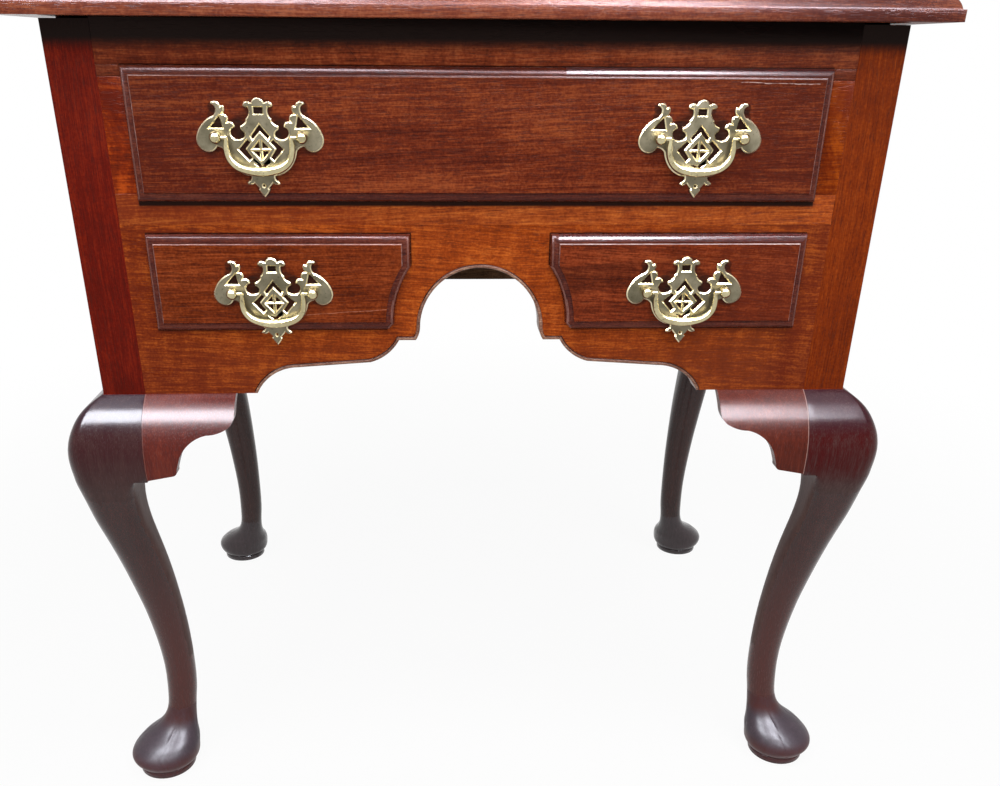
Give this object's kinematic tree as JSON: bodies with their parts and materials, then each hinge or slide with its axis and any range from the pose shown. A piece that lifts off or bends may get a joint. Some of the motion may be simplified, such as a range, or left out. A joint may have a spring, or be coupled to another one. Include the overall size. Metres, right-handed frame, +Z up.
{
  "type": "lowboy",
  "caption": "Small dressing table on cabriole legs with pad feet: a long lipped drawer over two small ones, an arched kneehole and brass bail handles.",
  "frame": {"origin": "on the floor, under the middle of the case", "axes": "+Z up, -Y out of the front where the drawers open, +X to the right of someone who faces the front"},
  "size_m": [0.6994, 0.5134, 0.7018],
  "materials": {
    "case_mahogany": "polished, red-brown, straight grain",
    "drawer_front_mahogany": "polished, darker red-brown, fine grain",
    "leg_mahogany": "polished, dark, worn lighter on the brackets",
    "drawer_lining_oak": "bare, aged",
    "inside_pine": "bare, aged, dusty",
    "brass": "aged, rubbed bright on its edges"
  },
  "bodies": {
    "case": {"apron_bead": "case_mahogany", "apron_board": "case_mahogany", "back_board": "inside_pine", "back_left_leg": "leg_mahogany", "back_right_leg": "leg_mahogany", "drawer_guides": "inside_pine", "drawer_kickers": "inside_pine", "front_left_bracket": "leg_mahogany", "front_left_leg": "leg_mahogany", "front_right_bracket": "leg_mahogany", "front_right_leg": "leg_mahogany", "left_back_side_bracket": "leg_mahogany", "left_front_side_bracket": "leg_mahogany", "left_inner_stile": "case_mahogany", "left_lower_runners": "inside_pine", "left_partition": "inside_pine", "left_side_panel": "case_mahogany", "left_upper_runner": "inside_pine", "mid_rail": "case_mahogany", "right_back_side_bracket": "leg_mahogany", "right_front_side_bracket": "leg_mahogany", "right_inner_stile": "case_mahogany", "right_lower_runners": "inside_pine", "right_partition": "inside_pine", "right_side_panel": "case_mahogany", "right_upper_runner": "inside_pine", "top_board": "case_mahogany", "top_glue_blocks": "inside_pine", "top_rail": "case_mahogany", "top_rail_strip": "case_mahogany"},
    "top_drawer": {"top_drawer_back": "drawer_lining_oak", "top_drawer_bottom": "drawer_lining_oak", "top_drawer_front": "drawer_front_mahogany", "top_drawer_left_side": "drawer_lining_oak", "top_drawer_right_side": "drawer_lining_oak", "top_handle_nuts": "brass", "top_handle_posts": "brass", "top_left_handle_plate": "brass", "top_right_handle_plate": "brass"},
    "left_drawer": {"left_drawer_back": "drawer_lining_oak", "left_drawer_bottom": "drawer_lining_oak", "left_drawer_front": "drawer_front_mahogany", "left_drawer_left_side": "drawer_lining_oak", "left_drawer_right_side": "drawer_lining_oak", "left_handle_nuts": "brass", "left_handle_plate": "brass", "left_handle_posts": "brass"},
    "right_drawer": {"right_drawer_back": "drawer_lining_oak", "right_drawer_bottom": "drawer_lining_oak", "right_drawer_front": "drawer_front_mahogany", "right_drawer_left_side": "drawer_lining_oak", "right_drawer_right_side": "drawer_lining_oak", "right_handle_nuts": "brass", "right_handle_plate": "brass", "right_handle_posts": "brass"},
    "left_bail": {"left_bail": "brass"},
    "right_bail": {"right_bail": "brass"},
    "top_left_bail": {"top_left_bail": "brass"},
    "top_right_bail": {"top_right_bail": "brass"}
  },
  "joints": [
    {"name": "top_drawer_slide", "type": "slide", "parent": "case", "child": "top_drawer", "axis": [0, -1, 0], "range_m": [0, 0.33]},
    {"name": "left_drawer_slide", "type": "slide", "parent": "case", "child": "left_drawer", "axis": [0, -1, 0], "range_m": [0, 0.33]},
    {"name": "right_drawer_slide", "type": "slide", "parent": "case", "child": "right_drawer", "axis": [0, -1, 0], "range_m": [0, 0.33]},
    {"name": "top_left_bail_swing", "type": "hinge", "parent": "top_drawer", "child": "top_left_bail", "pos_m": [-0.1659, -0.242, 0.60235], "axis": [-1, 0, 0], "range_deg": [-4, 150]},
    {"name": "top_right_bail_swing", "type": "hinge", "parent": "top_drawer", "child": "top_right_bail", "pos_m": [0.1659, -0.242, 0.60235], "axis": [-1, 0, 0], "range_deg": [-4, 150]},
    {"name": "left_bail_swing", "type": "hinge", "parent": "left_drawer", "child": "left_bail", "pos_m": [-0.1659, -0.242, 0.4865], "axis": [-1, 0, 0], "range_deg": [-4, 150]},
    {"name": "right_bail_swing", "type": "hinge", "parent": "right_drawer", "child": "right_bail", "pos_m": [0.1659, -0.242, 0.4865], "axis": [-1, 0, 0], "range_deg": [-4, 150]}
  ]
}
